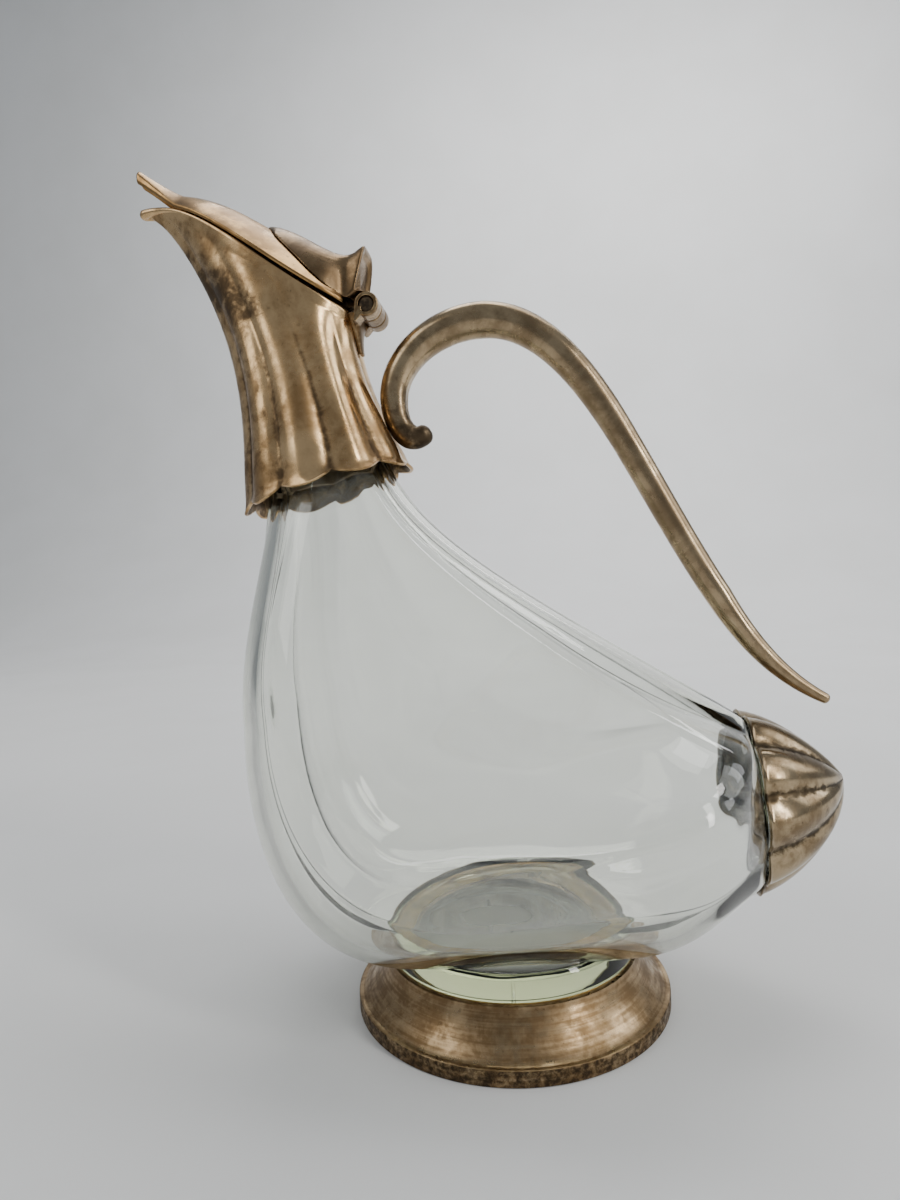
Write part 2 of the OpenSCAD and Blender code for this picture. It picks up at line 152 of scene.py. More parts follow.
def skin(name, rings, values=None, loop=False, sharp=40.0):
    """One closed solid through rings of equal length; a loop joins the last ring to the first."""
    n = len(rings[0])
    count = len(rings)
    faces = []
    for i in range(count if loop else count - 1):
        j = (i + 1) % count
        for k in range(n):
            k2 = (k + 1) % n
            faces.append((i * n + k, i * n + k2, j * n + k2, j * n + k))
    verts = np.concatenate(rings)
    creases = None if values is None else np.concatenate(values)
    if not loop:
        for row in (0, count - 1):
            centre = len(verts)
            verts = np.vstack([verts, rings[row].mean(0)])
            if creases is not None:
                creases = np.append(creases, 0.0)
            faces += [(row * n + k, row * n + (k + 1) % n, centre) for k in range(n)]
    return finish_mesh(name, verts, faces, creases, sharp)


def skin_pairs(name, pairs, loop=False, sharp=40.0):
    """The same through (ring, crease values) pairs."""
    return skin(name, [ring for ring, _ in pairs], [values for _, values in pairs], loop, sharp)


def turned(name, profile, steps, sharp=30.0, axis=None):
    """A closed outline of (radius, height) points turned round the upright axis, or the hinge's axis."""
    a = np.radians(np.arange(steps) * 360.0 / steps)
    rings = []
    for r, z in profile:
        if axis is None:
            rings.append(np.stack([r * np.cos(a), r * np.sin(a), np.full(steps, z)], 1))
        else:
            rings.append(np.stack([axis[0] + r * np.cos(a), np.full(steps, z), axis[1] + r * np.sin(a)], 1))
    return skin(name, rings, loop=True, sharp=sharp)


def extruded(name, outline, y0, y1):
    """A closed outline of [x, z] points drawn out from y0 to y1."""
    outline = np.asarray(outline, float)
    rings = [np.stack([outline[:, 0], np.full(len(outline), y), outline[:, 1]], 1) for y in (y0, y1)]
    return skin(name, rings, sharp=30)


def evaluated(obj, *modifiers):
    """The object with the modifiers applied; each is (type, {setting: value})."""
    for kind, settings in modifiers:
        modifier = obj.modifiers.new(kind, kind)
        for key, value in settings.items():
            setattr(modifier, key, value)
    mesh = bpy.data.meshes.new_from_object(obj.evaluated_get(bpy.context.evaluated_depsgraph_get()))
    obj.modifiers.clear()
    obj.data = mesh
    return obj


def cast_from(name, solids, voxel, passes):
    """Overlapping solids joined into one piece with the soft edges of a casting; sizes in millimetres."""
    bm = bmesh.new()
    for solid in solids:
        bm.from_mesh(solid.data)
        bpy.data.objects.remove(solid, do_unlink=True)
    mesh = bpy.data.meshes.new(name)
    bm.to_mesh(mesh)
    bm.free()
    obj = evaluated(new_object(name, mesh), ("REMESH", {"mode": "VOXEL", "voxel_size": voxel * MM}),
                    ("SMOOTH", {"factor": 0.5, "iterations": passes}))
    obj.data.shade_smooth()
    return obj


def joined(a, b):
    """The second object's mesh added to the first."""
    with bpy.context.temp_override(active_object=a, object=a, selected_objects=[a, b],
                                   selected_editable_objects=[a, b]):
        bpy.ops.object.join()
    return a


CORNER_STEPS, CORNER_SHARE = 4, 0.48


def rounded(points, radii):
    """The closed outline with its corners rounded, one radius for each point."""
    out = []
    for i, p in enumerate(points):
        p, a, b = Vector(p), Vector(points[i - 1]), Vector(points[(i + 1) % len(points)])
        if radii[i] <= 0:
            out.append(tuple(p))
            continue
        before, after = (a - p).length, (b - p).length
        cut = min(radii[i], before * CORNER_SHARE, after * CORNER_SHARE)
        start, end = p + (a - p) * (cut / before), p + (b - p) * (cut / after)
        for k in range(CORNER_STEPS + 1):
            t = k / CORNER_STEPS
            out.append(tuple(start * (1 - t) ** 2 + p * (2 * t * (1 - t)) + end * t * t))
    return out


def dress(obj, material, body, *nodes, slot):
    """Gives a piece its material and body, and hides the CAD nodes that it stands in for; its slot is not
    used.
    """
    obj.data.materials.clear()
    obj.data.materials.append(material)
    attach(obj, body)
    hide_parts(*nodes)


# Materials


class Net:
    """A small helper that makes a node material."""

    def __init__(self, name):
        self.material = bpy.data.materials.new(name)
        self.material.use_nodes = True
        self.tree = self.material.node_tree
        self.tree.nodes.clear()
        self.out = self.node("ShaderNodeOutputMaterial")
        self.coords = self.node("ShaderNodeTexCoord").outputs["Object"]

    def put(self, socket, value):
        if isinstance(value, bpy.types.NodeSocket):
            self.tree.links.new(value, socket)
        elif value is not None:
            socket.default_value = value

    def node(self, kind, **values):
        """A new node with inputs set or linked by name, an underscore standing for a space."""
        node = self.tree.nodes.new(kind)
        for key, value in values.items():
            self.put(node.inputs[key.replace("_", " ")], value)
        return node

    def shift(self, seed):
        """Moves all patterns, so that no two pieces look alike."""
        node = self.tree.nodes.new("ShaderNodeVectorMath")
        node.operation = "ADD"
        self.put(node.inputs[0], self.coords)
        self.put(node.inputs[1], (seed, seed * 0.7, -seed))
        self.coords = node.outputs[0]

    def stretch(self, scale, turn=(0, 0, 0)):
        return self.node("ShaderNodeMapping", Vector=self.coords, Scale=scale, Rotation=turn).outputs[0]

    def noise(self, scale, detail=4.0, rough=0.55, twist=0.0, vector=None):
        return self.node("ShaderNodeTexNoise", Vector=vector or self.coords, Scale=scale, Detail=detail,
                         Roughness=rough, Distortion=twist).outputs["Fac"]

    def cells(self, scale):
        return self.node("ShaderNodeTexVoronoi", Vector=self.coords, Scale=scale).outputs["Distance"]

    def span(self, value, low, high, to_low=0.0, to_high=1.0):
        node = self.node("ShaderNodeMapRange", Value=value, From_Min=low, From_Max=high, To_Min=to_low,
                         To_Max=to_high)
        node.interpolation_type = "SMOOTHSTEP"
        return node.outputs["Result"]

    def calc(self, kind, a, b, clamp=False):
        node = self.tree.nodes.new("ShaderNodeMath")
        node.operation = kind
        node.use_clamp = clamp
        self.put(node.inputs[0], a)
        self.put(node.inputs[1], b)
        return node.outputs[0]

    def times(self, value, factor):
        return self.calc("MULTIPLY", value, factor)

    def weighted(self, a, a_share, b, b_share):
        return self.calc("ADD", self.times(a, a_share), self.times(b, b_share))

    def blend(self, amount, a, b):
        node = self.tree.nodes.new("ShaderNodeMix")
        node.data_type = "RGBA"
        self.put(node.inputs[0], amount)
        for socket, value in ((node.inputs[6], a), (node.inputs[7], b)):
            self.put(socket, (*value, 1.0) if isinstance(value, tuple) else value)
        return node.outputs[2]

    def attribute(self, name):
        node = self.tree.nodes.new("ShaderNodeAttribute")
        node.attribute_name = name
        return node.outputs["Fac"]

    def bump(self, height, distance, strength, normal=None):
        return self.node("ShaderNodeBump", Height=height, Distance=distance, Strength=strength,
                         Normal=normal).outputs["Normal"]

    def shader(self, **values):
        node = self.node("ShaderNodeBsdfPrincipled", **values)
        self.put(self.out.inputs["Surface"], node.outputs["BSDF"])
        return self.material


def tarnished(net, clouds, mottle, spun, veil):
    """How tarnished each place is, in clouds, and in fine rings on a spun piece."""
    age = net.weighted(clouds, 0.7, mottle, 0.3)
    if spun:
        lines = net.noise(scale=1.0, detail=3, rough=0.6, vector=net.stretch((30, 30, 1300)))
        age = net.weighted(age, 0.68, lines, 0.32)
    earlier = 0.22 * veil
    return net.span(age, 0.5 - earlier, 0.72 - earlier)


def crease_patina_and_shade(net, mottle, most):
    """How dark each place is, from the mesh's crease values with a ragged edge: patina in the creases and
    painted shade where the values carry it.
    """
    ragged = net.times(net.calc("SUBTRACT", mottle, 0.5), 0.9)
    return net.span(net.calc("ADD", net.attribute("crease"), ragged), 0.68, 1.0, to_high=most)


def spotted(net, mottle):
    """Small dark specks and round spots, which gather in places."""
    specks = net.span(net.noise(scale=760, detail=3, rough=0.6), 0.63, 0.71, to_high=0.7)
    spots = net.span(net.cells(150), 0.05, 0.13, to_low=0.55, to_high=0.0)
    return net.times(net.calc("MAXIMUM", specks, spots), net.span(mottle, 0.42, 0.62))


def polished(net, tarnish, depth, patch, rough):
    """Smooth where the plate is rubbed, rougher with tarnish and in the creases."""
    rub = net.span(net.noise(scale=patch * 2.2, detail=3, rough=0.5), 0.3, 0.7)
    worn = net.span(net.weighted(tarnish, 0.55, rub, 0.45), 0.1, 0.9, rough[0], rough[1])
    return net.calc("ADD", worn, net.times(depth, 0.25), clamp=True)


def dented(net, spun):
    """Grit, fine scratches and soft dents; the scratches of a spun piece run round it."""
    way = net.stretch((60, 60, 2200)) if spun else net.stretch((700, 700, 90), (0.3, 0.2, 0.5))
    grit = net.noise(scale=2100, detail=2, rough=0.5)
    scratch = net.noise(scale=1.0, detail=2, rough=0.5, vector=way)
    fine = net.bump(net.weighted(grit, 0.3, scratch, 0.7), distance=0.00002, strength=0.5)
    return net.bump(net.noise(scale=95, detail=3, rough=0.5), distance=0.00022, strength=0.5, normal=fine)


def plate(name, bright, dull, dark, rough, patch, veil, crease=0.9, seed=0.0, spun=False):
    """Aged silver plate: rubbed bright places, warm tarnish in patches, dark patina in the creases, and
    painted shade where a piece's crease values carry it.
    """
    net = Net(name)
    net.shift(seed)
    mottle = net.noise(scale=patch * 5.2, detail=6, rough=0.65, twist=0.3)
    tarnish = tarnished(net, net.noise(scale=patch, detail=5, rough=0.6, twist=0.6), mottle, spun, veil)
    # dark patina in the creases, and painted shade where the crease values carry it
    depth = crease_patina_and_shade(net, mottle, crease)
    colour = net.blend(depth, net.blend(tarnish, bright, dull), dark)
    colour = net.blend(spotted(net, mottle), colour, tuple(0.45 * v for v in dull))
    return net.shader(Base_Color=colour, Metallic=1.0, Roughness=polished(net, tarnish, depth, patch, rough),
                      Normal=dented(net, spun))


silver = plate("aged silver plate", (0.72, 0.49, 0.255), (0.33, 0.20, 0.09), (0.075, 0.049, 0.027),
               rough=(0.14, 0.34), patch=38.0, veil=0.5, crease=0.92)
silver_foot = plate("worn silver plate of the foot", (0.42, 0.30, 0.17), (0.19, 0.12, 0.058),
                    (0.035, 0.025, 0.016), rough=(0.26, 0.48), patch=120.0, veil=0.62, seed=0.31, spun=True)
# Painted shade: the cap's plate is darker than the neck's, standing in for the dark reflections it shows.
silver_cap = plate("rubbed silver plate of the cap with painted shade", (0.38, 0.295, 0.185), (0.17, 0.118, 0.065),
                   (0.02, 0.014, 0.008), rough=(0.14, 0.3), patch=70.0, veil=0.45, crease=0.85, seed=0.57)
# Painted shade: the lid's plate is darker and less blue than the neck's, in place of the dimmer reflection it
# shows.
silver_lid = plate("silver plate of the lid with painted shade", (0.50, 0.305, 0.125), (0.29, 0.168, 0.066),
                   (0.05, 0.033, 0.018), rough=(0.18, 0.36), patch=60.0, veil=0.5, seed=0.83)
# Painted shade: the crest's plate is the darkest, standing in for the dim surroundings its flanks reflect
# from below.
silver_crest = plate("silver plate of the crest with painted shade", (0.30, 0.20, 0.108), (0.15, 0.095, 0.048),
                     (0.03, 0.02, 0.012), rough=(0.2, 0.38), patch=70.0, veil=0.6, seed=0.71)
silver_hinge = plate("silver plate of the hinge", (0.44, 0.31, 0.17), (0.17, 0.11, 0.055),
                     (0.04, 0.03, 0.02), rough=(0.18, 0.36), patch=120.0, veil=0.6, seed=0.22)
cast = plate("tarnished cast metal", (0.47, 0.355, 0.215), (0.225, 0.16, 0.092), (0.06, 0.042, 0.026),
             rough=(0.18, 0.32), patch=45.0, veil=0.6, seed=0.13)


def pin_material():
    net = Net("oxidised pin")
    blotch = net.noise(scale=420, detail=5, rough=0.6)
    colour = net.blend(net.span(blotch, 0.35, 0.65), (0.16, 0.115, 0.07), (0.045, 0.034, 0.024))
    grit = net.bump(net.noise(scale=1500, detail=3), distance=0.00003, strength=0.6)
    return net.shader(Base_Color=colour, Metallic=1.0, Normal=grit,
                      Roughness=net.span(blotch, 0.3, 0.7, to_low=0.35, to_high=0.6))


def cement_material(name, pale, dark):
    net = Net(name)
    grain = net.noise(scale=900, detail=6, rough=0.7)
    colour = net.blend(net.span(net.noise(scale=120), 0.35, 0.65), pale, dark)
    return net.shader(Base_Color=colour, Normal=net.bump(grain, distance=0.0001, strength=0.8),
                      Roughness=net.span(grain, 0.3, 0.7, to_low=0.8, to_high=0.95))


def glass_material(name, tint, depth_tint, density):
    """Clear glass with soft waves and smears, which takes on a tint through its thickness."""
    net = Net(name)
    ripple = net.noise(scale=24, detail=3, rough=0.45, twist=0.2)
    film = net.span(net.noise(scale=140, rough=0.6), 0.3, 0.7)
    smear = net.span(net.noise(scale=55, detail=5, rough=0.62, twist=0.8), 0.56, 0.78, to_high=0.05)
    colour = net.blend(film, tint, tuple(min(1.0, v * 1.012) for v in tint))
    depth = net.node("ShaderNodeVolumeAbsorption", Color=(*depth_tint, 1), Density=density)
    net.put(net.out.inputs["Volume"], depth.outputs["Volume"])
    return net.shader(Base_Color=colour, Roughness=smear, IOR=1.5, Transmission_Weight=1.0,
                      Normal=net.bump(ripple, distance=0.00035, strength=0.35))


glass = glass_material("clear blown glass", (0.97, 0.98, 0.955), depth_tint=(0.74, 0.82, 0.34), density=15.0)
plaster = cement_material("mounting plaster", (0.36, 0.27, 0.17), (0.2, 0.14, 0.085))
amber_cement = cement_material("aged golden cement", (0.66, 0.44, 0.13), (0.36, 0.22, 0.06))
pin_metal = pin_material()

# The glass

COLLAR = np.array([-52.2, 160.8])
COLLAR_TILT, COLLAR_R = 14.3, 27.0
THROAT = COLLAR + [1.2, -1.8]
THROAT_TILT = COLLAR_TILT - 1.3
THROAT_R, THROAT_TOP_R, THROAT_RISE = 20.5, 16.5, 22.0
CAP = np.array([72.4, 59.8])
CAP_TILT, CAP_R, CAP_L, CAP_FLUTE = 2.0, 27.0, 27.0, 1.8
SHOULDER, CAP_FIT, CAP_OVERLAP = 1.0, 0.2, 1.2
TAIL = CAP - along(CAP_TILT) * CAP_OVERLAP
TAIL_R = CAP_R - CAP_FLUTE + CAP_FIT + SHOULDER
FLOOR, SINK, BELLY = 22.0, 3.0, 31.0
LOW = FLOOR - SINK
BREAST = np.array([-76.0, 88.0])
BODY_HALF, EGG_SHIFT, SPREAD = 56.0, 2.9, 16.4
WALL, FLOOR_T, FLOOR_SAG, FLOOR_BEND = 2.4, 3.0, 0.15, 1.2
FLUTE, END_FLUTE, INNER_FLUTE_SHARE = 2.4, 0.8, 0.6
CREASE_SOFT, INNER_CREASE_SOFT, END_CREASE_SOFT = 0.075, 0.22, 0.3

FRONT_START = THROAT - along(THROAT_TILT) * THROAT_R
BACK_START = THROAT + along(THROAT_TILT) * THROAT_R
FRONT_END = TAIL - across(CAP_TILT) * TAIL_R
BACK_END = TAIL + across(CAP_TILT) * TAIL_R
FRONT = [
    [FRONT_START, mix(FRONT_START, [BREAST[0], FRONT_START[1]], 0.22) - [0, 24], BREAST + [-2.4, 24], BREAST],
    [BREAST, BREAST - [0, 38.5], [BREAST[0] + 12.5, LOW], [-BELLY, LOW]],
    [[-BELLY, LOW], [-BELLY / 3, LOW], [BELLY / 3, LOW], [BELLY, LOW]],
    [[BELLY, LOW], [BELLY + 20, LOW], FRONT_END - [12.5, 2.7], FRONT_END]]
SHARES = [0, 0.27, 0.6, 0.81, 1]
BACK = [BACK_START, BACK_START + [11, -24.8], BACK_END + [-46.5, 30], BACK_END]
BACK_LAG = 3.2

# How far each ring of the closed tail reaches into the cap, and how much smaller it is
TAIL_STEPS = [(0.4, 0.5), (0.8, 1.4), (1.0, 2.4), (1.3, 3.0), (3, 3.5), (5, 4.3), (7, 5.6), (9, 7.6),
              (11, 10.8), (12.4, 14.5), (13.3, 19), (13.6, 23)]
TAIL_INNER = slice(4, 9)

PAD_LOW, PAD_R, PAD_EDGE, PAD_TOP_R, PAD_TOP, AXIS_HOLE = 16.05, 38.0, 22.6, 37.2, 24.2, 0.4


def front_at(f):
    for i in range(4):
        if f <= SHARES[i + 1] or i == 3:
            return bezier(FRONT[i], (f - SHARES[i]) / (SHARES[i + 1] - SHARES[i]))


def glass_ring(f, inset=0.0):
    """The body's ring at share f of the way from throat to tail, bent flat where it meets the floor."""
    swell = max(0.0, math.sin(math.pi * f))
    sway = sind(360 * f)
    half = mix(THROAT_R, TAIL_R, f) + (BODY_HALF - (THROAT_R + TAIL_R) / 2) * swell ** 0.8 - EGG_SHIFT * sway
    depth = mix(END_FLUTE, FLUTE, swell ** 0.6) * (INNER_FLUTE_SHARE if inset else 1.0)
    ring, values = section(front_at(f), bezier(BACK, 1 - (1 - f) ** BACK_LAG), half, depth,
                           soft=INNER_CREASE_SOFT if inset else CREASE_SOFT,
                           widest=0.49 - 0.2 * sway - 0.03 * swell, front_power=2 + 0.65 * swell ** 0.7,
                           spread=SPREAD * swell ** 0.5, inset=inset)
    low = FLOOR + FLOOR_T if inset else FLOOR
    over = ring[:, 2] - low
    ring[:, 2] = low + (over + np.sqrt(over ** 2 + FLOOR_BEND)) / 2 - (0.0 if inset else FLOOR_SAG)
    return ring, values


def round_ring(centre, way, r, depth, inset=0.0):
    return section(centre - way * r, centre + way * r, r, depth, soft=END_CREASE_SOFT, inset=inset)


def throat_ring(s, inset):
    centre = THROAT + across(THROAT_TILT) * THROAT_RISE * (1 - s)
    r = mix(THROAT_TOP_R, THROAT_R, s ** 1.5)
    return round_ring(centre, along(THROAT_TILT), r, END_FLUTE * s, inset)


def tail_ring(reach, drop, inset):
    r = TAIL_R - drop - inset
    return round_ring(TAIL + along(CAP_TILT) * (reach - inset), across(CAP_TILT), r,
                      CAP_FLUTE * r / TAIL_R / 3)


def make_pad_tool():
    """The thick disc under the body, which melts into it."""
    outline = [(AXIS_HOLE, PAD_LOW), (PAD_R, PAD_LOW), (PAD_R, PAD_EDGE), (PAD_TOP_R, PAD_TOP),
               (AXIS_HOLE, PAD_TOP)]
    return turned("pad_tool", rounded(outline, [0, 1.5, 0.3, 0.5, 0]), PAD_AROUND, sharp=60)


def make_glass():
    outer, inner = [], []
    for s in np.linspace(0, 0.93, 12):
        outer.append(throat_ring(s, 0))
        inner.append(throat_ring(s, WALL))
    lip = edge_roll(outer[0][0], inner[0][0], in_space(across(THROAT_TILT)), 0.55, 0.85, np.ones(AROUND))
    for f in np.linspace(0, 1, 110 if FINE else 55):
        outer.append(glass_ring(f))
        inner.append(glass_ring(f, WALL))
    outer += [tail_ring(reach, drop, 0) for reach, drop in TAIL_STEPS]
    inner += [tail_ring(reach, drop, WALL) for reach, drop in TAIL_STEPS[TAIL_INNER]]
    obj = skin_pairs("glass_body_blown", outer[::-1] + lip + inner, sharp=60)
    pad = make_pad_tool()
    evaluated(obj, ("BOOLEAN", {"operation": "UNION", "object": pad, "solver": "MANIFOLD"}))
    obj.data.shade_smooth()
    obj.data.set_sharp_from_angle(angle=math.radians(50))
    bpy.data.objects.remove(pad, do_unlink=True)
    return obj


dress(make_glass(), glass, "jug", "glass_body", "glass_pad", slot="glass")

# The foot

FOOT_R, BAND_H, FOOT_WALL = 48.0, 4.5, 1.3
BELL_R, BELL_IN, BELL_TOP, BELL_RISE, BELL_POWER = 46.4, 7.7, 15.6, 10.9, 1.5
RING_LINES, LINE_WIDE, LINE_HIGH = (34, 43), 1.2, 0.16
HOLE_R, HOLE_LOW, UNDER_R, UNDER_TOP = 30.0, 14.8, 45.2, 3.0
# How dark the band round the foot's edge is made, through its crease values
BAND_DARKENING = 0.86


def bell(a, inset):
    """The bell's curve at angle a, from its low edge at 3 to its top at 90, with two raised lines."""
    line = LINE_HIGH * sum(math.tanh((a - at) / LINE_WIDE) for at in RING_LINES)
    return (BELL_R - inset - BELL_IN * sind(a) ** BELL_POWER - line * 0.6,
            BELL_TOP - inset - BELL_RISE * cosd(a) ** BELL_POWER + line * 0.5)


def make_foot():
    profile = rounded([(FOOT_R, 0.0), (FOOT_R, BAND_H), (BELL_R + 0.2, BAND_H + 0.1)], [0.5, 0.45, 0.1])
    profile += [bell(a, 0) for a in np.linspace(3, 90, 60)]
    profile += [(HOLE_R + 0.4, BELL_TOP), (HOLE_R, BELL_TOP - 0.4), (HOLE_R + 0.4, HOLE_LOW)]
    profile += [bell(a, FOOT_WALL) for a in np.linspace(90, 3, 24)]
    profile += [(UNDER_R, UNDER_TOP), (UNDER_R, 0.3), (UNDER_R + 0.3, 0.0)]
    foot = turned("foot_spun", profile, FOOT_AROUND, sharp=40)
    # The band round the foot's edge is made darker through its crease values.
    top, inside = (BAND_H - 0.05) * MM, (FOOT_R - 1.2) * MM
    set_crease(foot.data, [BAND_DARKENING if v.co.z < top and v.co.xy.length > inside else 0.0
                           for v in foot.data.vertices])
    return foot


dress(make_foot(), silver_foot, "jug", "foot_shell", "foot_band", slot="silver_plate")

# The neck mount

HINGE = np.array([-35.7, 213.6])
KNUCKLE_R, BARREL, MIDDLE, SIDE_GAP = 3.7, 8.5, 3.0, 0.2
HINGE_DROP = 1.6
LIP = np.array([-111.0, 252.0])
MOUTH_END = HINGE - [KNUCKLE_R + HINGE_DROP, HINGE_DROP]
COLLAR_FRONT = COLLAR - along(COLLAR_TILT) * COLLAR_R
COLLAR_BACK = COLLAR + along(COLLAR_TILT) * COLLAR_R
COLLAR_UP = in_space(across(COLLAR_TILT))
NECK_FRONT = [COLLAR_FRONT, between(COLLAR_FRONT, LIP, -0.057, 0.366),
              between(COLLAR_FRONT, LIP, -0.011, 0.642), LIP]
NECK_BACK = [COLLAR_BACK, between(COLLAR_BACK, MOUTH_END, 0.465, 0.281),
             between(COLLAR_BACK, MOUTH_END, 1, 0.641), MOUTH_END]
COLLAR_HALF, MOUTH_HALF, MOUTH_BACK, TAPER = 26.2, 17.5, 3.0, 0.9
BOW, BOW_LEAN = 4.0, 1.58
NECK_WALL, NECK_FLUTE, MOUTH_FLUTE, NECK_CREASE_SOFT = 1.2, 1.85, 0.25, 0.14
FLARE, FLARE_TO = 0.6, 0.03
SCALLOP, SCALLOP_TO, SCALLOP_SOFT = 2.2, 0.1, 0.02
RIM_SWELL, RIM_FROM = 0.5, 0.93
RIM_DROP, RIM_DROP_FROM, RIM_ROUND = 0.75, 0.9, 0.8
LIP_LIMIT, LIP_PRESS = -109.9, 0.15
# The painted shade on the neck's front side: its soft edge, its least and most darkness, and where and how
# wide its darkest band is
FRONT_SHADE_EDGE, FRONT_SHADE_LEAST, FRONT_SHADE_MOST, FRONT_SHADE_AT, FRONT_SHADE_WIDE = 0.12, 0.74, 0.98, 0.72, 0.24
BEAD_R, BEAD_GROWS, BEAD_REACH, BEAD_LIFT = 0.62, 1.0, 17.0, 0.05
BEAD_VOXEL = 0.2 if FINE else 0.35


def bow(ring, share):
    """The ring raised along the mouth's arched edge."""
    half = np.linalg.norm(MOUTH_END - LIP) / 2
    way = (MOUTH_END - LIP) / (2 * half)
    q = ((ring[:, [0, 2]] - LIP) @ way) / half - 1
    out = ring.copy()
    out[:, 2] += share * BOW * np.maximum(0, 1 - q * q) * (1 - BOW_LEAN * q)
    return out


def neck_ring(t, inset):
    """The ring at t, 0 at the collar and 1 at the mouth."""
    half = MOUTH_HALF + (COLLAR_HALF - MOUTH_HALF) * (1 - t) ** 1.5
    ring, values = section(bezier(NECK_FRONT, t), bezier(NECK_BACK, t), half,
                           mix(NECK_FLUTE, MOUTH_FLUTE, t ** 1.6), soft=NECK_CREASE_SOFT,
                           back_power=mix(2, MOUTH_BACK, t * t), taper=TAPER * t ** 2.5, inset=inset)
    return bow(ring, t ** 3), values


def neck_pair(t):
    """The outer and inner ring at t, with the collar's flare and scallops and the swell of the rim."""
    flare = FLARE * max(0.0, 1 - t / FLARE_TO) ** 2
    swell = RIM_SWELL * max(0.0, (t - RIM_FROM) / (1 - RIM_FROM)) ** 0.7
    scallop = SCALLOP * max(0.0, 1 - t / SCALLOP_TO) ** 1.5 * fluting(ANGLES, SCALLOP_SOFT)
    for inset in (-flare - swell, NECK_WALL - flare + 0.2 * swell):
        ring, values = neck_ring(t, inset)
        ring = ring - scallop[:, None] * COLLAR_UP[None, :]
        ring[:, 2] -= RIM_DROP * max(0.0, (t - RIM_DROP_FROM) / (1 - RIM_DROP_FROM))
        yield ring, values


def neck_patina_and_front_shade(t, values):
    """Crease values of the outer ring: patina in the creases, with painted shade on the front side, most of
    all below the mouth.
    """
    facing_front = 1 / (1 + np.exp((sind(ANGLES) - FRONT_SHADE_EDGE) / FRONT_SHADE_EDGE))
    # painted shade: the front side of the neck darkened as if turned away from the light
    painted_front_shade = facing_front * max(FRONT_SHADE_MOST * math.exp(-((t - FRONT_SHADE_AT) / FRONT_SHADE_WIDE) ** 2), FRONT_SHADE_LEAST)
    return np.maximum(values * (1 - t ** 3), painted_front_shade)


def make_neck():
    outer, inner = [], []
    for t in np.concatenate([np.linspace(0, 0.9, 84 if FINE else 44), np.linspace(0.915, 1, 9)]):
        (ring, values), (ring_in, _) = neck_pair(t)
        outer.append((ring, neck_patina_and_front_shade(t, values)))
        inner.append((ring_in, np.ones(AROUND)))
    rim, rim_in = outer[-1][0], inner[-1][0]
    lip = []
    for a in np.radians([25, 50, 75, 105, 130, 155]):
        ring = mix(rim, rim_in, 0.5 - 0.5 * math.cos(a))
        ring[:, 2] += RIM_ROUND * math.sin(a)
        lip.append((ring, outer[-1][1]))
    roll = edge_roll(inner[0][0], outer[0][0], -COLLAR_UP, 0.32, 0.5, outer[0][1])
    pairs = outer + lip + inner[::-1] + roll
    for ring, _ in pairs:
        beyond = ring[:, 0] - LIP_LIMIT
        ring[:, 0] = np.where(beyond < 0, LIP_LIMIT + beyond * LIP_PRESS, ring[:, 0])
    neck = skin_pairs("neck_raised", pairs, loop=True, sharp=50)
    return joined(neck, make_bead(mix(rim, rim_in, 0.5) + RIM_DROP * UP))


def make_bead(path):
    """The rolled edge of the mouth, thickest at the lip."""
    front = np.clip(1 - (path[:, 0] - LIP[0]) / BEAD_REACH, 0, 1)
    r = BEAD_R + BEAD_GROWS * front ** 1.3
    path = path.copy()
    path[:, 0] += r - BEAD_R
    path[:, 2] += BEAD_LIFT - r
    run = np.roll(path, -1, 0) - np.roll(path, 1, 0)
    side = np.cross(run, UP)
    side /= np.linalg.norm(side, axis=1)[:, None]
    high = np.cross(side, run)
    high /= np.linalg.norm(high, axis=1)[:, None]
    rings = [path + r[:, None] * (math.cos(a) * side + math.sin(a) * high)
             for a in np.radians(np.arange(0, 360, 30))]
    return cast_from("mouth_bead", [skin("bead_form", rings, loop=True)], BEAD_VOXEL, 3)


dress(make_neck(), silver, "jug", "neck_mount", slot="silver_plate")

# The lid

LID_T, LID_GAP, LID_LIFT, ARCH = 1.4, 0.3, 1.2, 0.68
BEAK_RISE, BEAK_W, BEAK_T, BEAK_SHARE = 8.7, 1.5, 1.3, 0.236
LID_END = 0.975
KNOB, TIP_REACH = 0.9, 1.3
EDGE_OUT = 0.25
LID_EDGE = ((0.2, 0.12), (0.36, 0.36), (0.36, 0.64), (0.2, 0.88))


def breadth(q, power):
    """The mouth's width at q, from -1 at the lip to 1 at the hinge, as a share of its widest."""
    return (1 - abs(q) ** power) ** (1 / power) * (1 - TAPER * (0.5 - 0.5 * q) ** TAPER_POWER)


def mouth_edge(share):
    """A point of the mouth's edge on the far side, at a share of the way from the lip to the hinge."""
    p = mix(LIP, MOUTH_END, share)
    power = 2 if share < 0.5 else MOUTH_BACK
    return bow(np.array([[p[0], MOUTH_HALF * breadth(2 * share - 1, power), p[1]]]), 1)[0]


def in_beak(share):
    return max(0.0, 1 - share / BEAK_SHARE)


def lid_half(share):
    return mouth_edge(share)[1] + LID_GAP + BEAK_W * in_beak(share) ** 2


def lid_height(share, side):
    return (mouth_edge(share)[2] + LID_GAP + LID_LIFT * share ** 2 + BEAK_RISE * in_beak(share) ** 1.37
            + ARCH * lid_half(share) * (1 - np.abs(side) ** 1.72))


